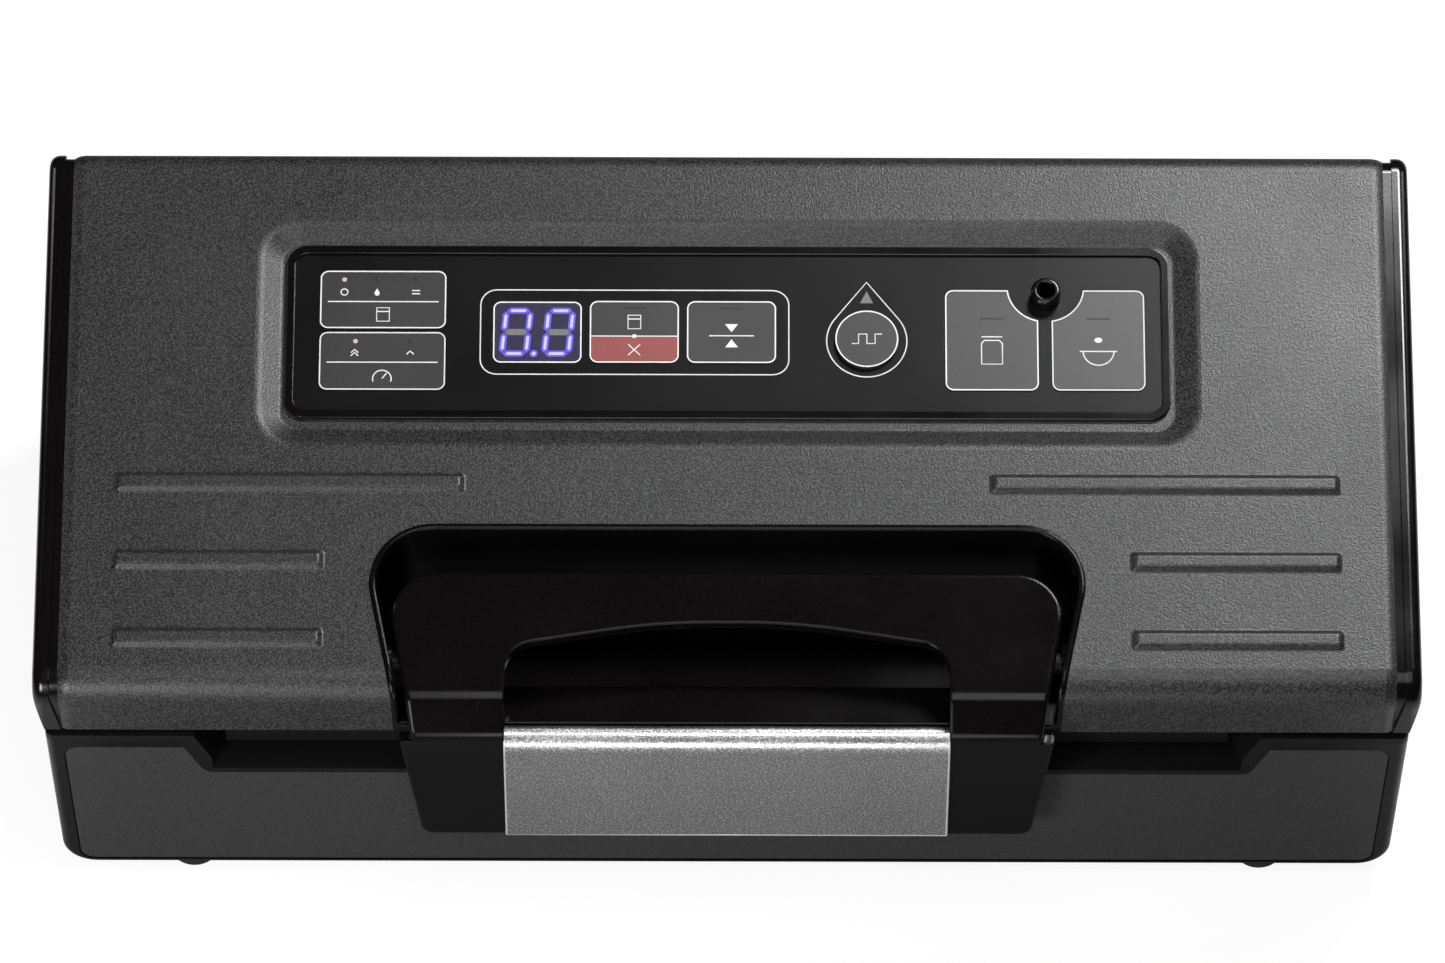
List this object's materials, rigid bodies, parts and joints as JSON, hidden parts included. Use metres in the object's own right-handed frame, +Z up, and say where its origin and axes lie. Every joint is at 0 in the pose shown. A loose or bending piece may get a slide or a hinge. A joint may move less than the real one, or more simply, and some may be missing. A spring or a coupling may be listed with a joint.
{
  "type": "vacuum sealer",
  "caption": "Countertop vacuum sealer with a hinged sloping metal lid, a front lift handle that works the latches, a recessed key panel and a front bag slot.",
  "frame": {"origin": "centre of the overall footprint, on the surface that the feet stand on", "axes": "+X to the right seen from the front, +Y to the back, +Z up"},
  "size_m": [0.418, 0.194, 0.1282],
  "materials": {
    "coated_steel": "fine textured powder coat",
    "gloss_black": "glossy moulded plastic",
    "case_black": "satin moulded plastic",
    "grip_metal": "satin grained",
    "fascia_black": "printed overlay",
    "key_grey": "printed overlay",
    "display_glass": "tinted window",
    "display_dark": "moulded",
    "rubber_black": "moulded",
    "silicone_grey": "moulded foam and silicone",
    "steel": "zinc plated",
    "circuit_green": "solder mask",
    "tape_brown": "coated glass cloth",
    "hose_clear": "extruded silicone",
    "motor_zinc": "zinc plated",
    "core_iron": "varnished laminations",
    "contact_brass": "plated",
    "fan_white": "moulded"
  },
  "bodies": {
    "base": {"base_shell": "case_black", "deck": "case_black", "front_panel": "coated_steel", "rubber_feet": "rubber_black", "base_screws": "steel", "hinge_pins": "steel", "latch_catches": "steel", "chamber_gasket": "rubber_black", "seal_bar": "case_black", "heating_element": "steel", "seal_tape": "tape_brown", "pump_motor": "motor_zinc", "pump_crankcase": "case_black", "pump_head": "case_black", "pump_bracket": "steel", "pump_isolators": "rubber_black", "vacuum_valve": "case_black", "trough_hose": "hose_clear", "pump_hose": "hose_clear", "power_board": "circuit_green", "transformer": "core_iron", "power_inlet": "case_black", "inlet_contacts": "contact_brass"},
    "lid": {"lid_skin": "coated_steel", "lid_end_cap_left": "gloss_black", "lid_end_cap_right": "gloss_black", "lid_underside": "case_black", "handle_well": "gloss_black", "control_bezel": "gloss_black", "control_fascia": "fascia_black", "display_window": "display_glass", "display_module": "display_dark", "keypad_mat": "silicone_grey", "control_board": "circuit_green", "hose_port": "gloss_black", "port_hose": "hose_clear", "lid_gasket": "rubber_black", "seal_pad": "silicone_grey", "lid_screws": "steel", "handle_springs": "steel"},
    "handle": {"handle_frame": "gloss_black", "handle_grip": "grip_metal", "latch_shaft_left": "steel", "latch_shaft_right": "steel", "latch_hook_left": "steel", "latch_hook_right": "steel"},
    "pump_drive": {"pump_shaft": "steel", "pump_eccentric": "steel", "cooling_fan": "fan_white"},
    "mode_key": {"mode_key": "key_grey"},
    "pressure_key": {"pressure_key": "key_grey"},
    "vacuum_key": {"vacuum_key": "key_grey"},
    "seal_key": {"seal_key": "key_grey"},
    "pulse_key": {"pulse_key": "key_grey"},
    "canister_key": {"canister_key": "key_grey"},
    "marinate_key": {"marinate_key": "key_grey"}
  },
  "joints": [
    {"name": "lid_hinge", "type": "hinge", "parent": "base", "child": "lid", "pos_m": [0, 0.091, 0.0802], "axis": [-1, 0, 0], "range_deg": [0, 70], "deforming": ["latch_catches"]},
    {"name": "handle_lift", "type": "hinge", "parent": "lid", "child": "handle", "pos_m": [0, -0.07, 0.0937], "axis": [-1, 0, 0], "range_deg": [0, 16], "stiffness_Nm_per_rad": 0.2, "springref_deg": -5.73},
    {"name": "pump_spin", "type": "hinge", "parent": "base", "child": "pump_drive", "pos_m": [0, 0.045, 0.0371], "axis": [1, 0, 0], "continuous": true},
    {"name": "mode_press", "type": "slide", "parent": "lid", "child": "mode_key", "axis": [0, 0.1564, -0.9877], "range_m": [0, 0.0008], "stiffness_N_per_m": 1000},
    {"name": "pressure_press", "type": "slide", "parent": "lid", "child": "pressure_key", "axis": [0, 0.1564, -0.9877], "range_m": [0, 0.0008], "stiffness_N_per_m": 1000},
    {"name": "vacuum_press", "type": "slide", "parent": "lid", "child": "vacuum_key", "axis": [0, 0.1564, -0.9877], "range_m": [0, 0.0008], "stiffness_N_per_m": 1000},
    {"name": "seal_press", "type": "slide", "parent": "lid", "child": "seal_key", "axis": [0, 0.1564, -0.9877], "range_m": [0, 0.0008], "stiffness_N_per_m": 1000},
    {"name": "pulse_press", "type": "slide", "parent": "lid", "child": "pulse_key", "axis": [0, 0.1564, -0.9877], "range_m": [0, 0.0008], "stiffness_N_per_m": 1000},
    {"name": "canister_press", "type": "slide", "parent": "lid", "child": "canister_key", "axis": [0, 0.1564, -0.9877], "range_m": [0, 0.0008], "stiffness_N_per_m": 1000},
    {"name": "marinate_press", "type": "slide", "parent": "lid", "child": "marinate_key", "axis": [0, 0.1564, -0.9877], "range_m": [0, 0.0008], "stiffness_N_per_m": 1000}
  ]
}
